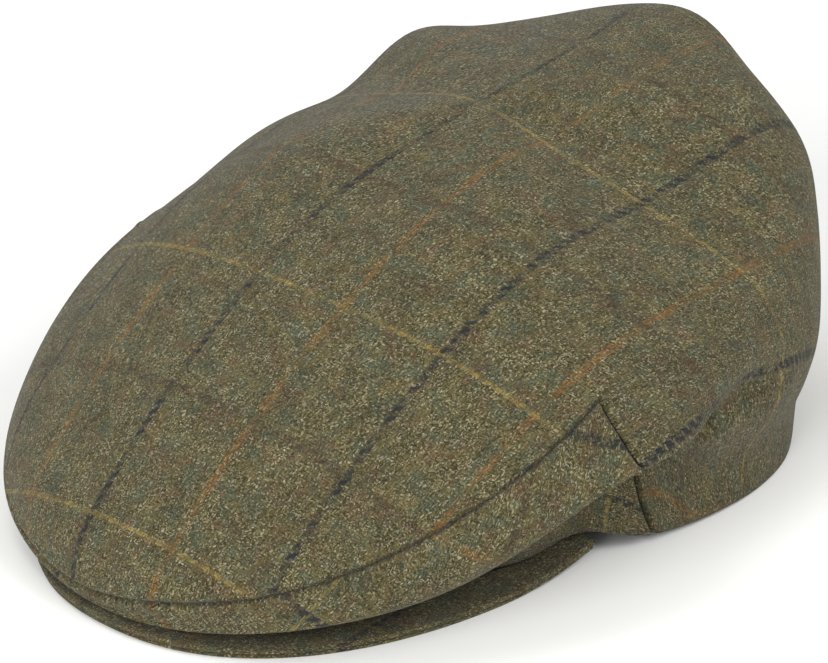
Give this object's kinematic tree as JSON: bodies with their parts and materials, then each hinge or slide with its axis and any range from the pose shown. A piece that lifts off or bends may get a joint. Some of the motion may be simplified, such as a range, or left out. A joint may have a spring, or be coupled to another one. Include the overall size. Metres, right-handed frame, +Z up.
{
  "type": "tweed flat cap",
  "caption": "Soft flat cap in checked tweed: a top panel drawn forward over a low front panel and a stiff peak, hollow and open below for a head.",
  "frame": {"origin": "centre of the bounding box, on the surface that the cap lies on", "axes": "+Z up, -Y toward the front edge of the peak, +X toward the wearer's left"},
  "size_m": [0.2141, 0.2731, 0.1183],
  "materials": {
    "tweed_top": "woven wool twill with a faint check, matte",
    "tweed_front": "woven wool twill with a faint check, matte",
    "tweed_peak": "woven wool twill stretched over a board, matte",
    "tweed_under": "woven wool twill, matte"
  },
  "bodies": {
    "root": {"top_panel": "tweed_top", "front_panel": "tweed_front", "peak": "tweed_peak", "peak_under": "tweed_under"}
  },
  "joints": []
}
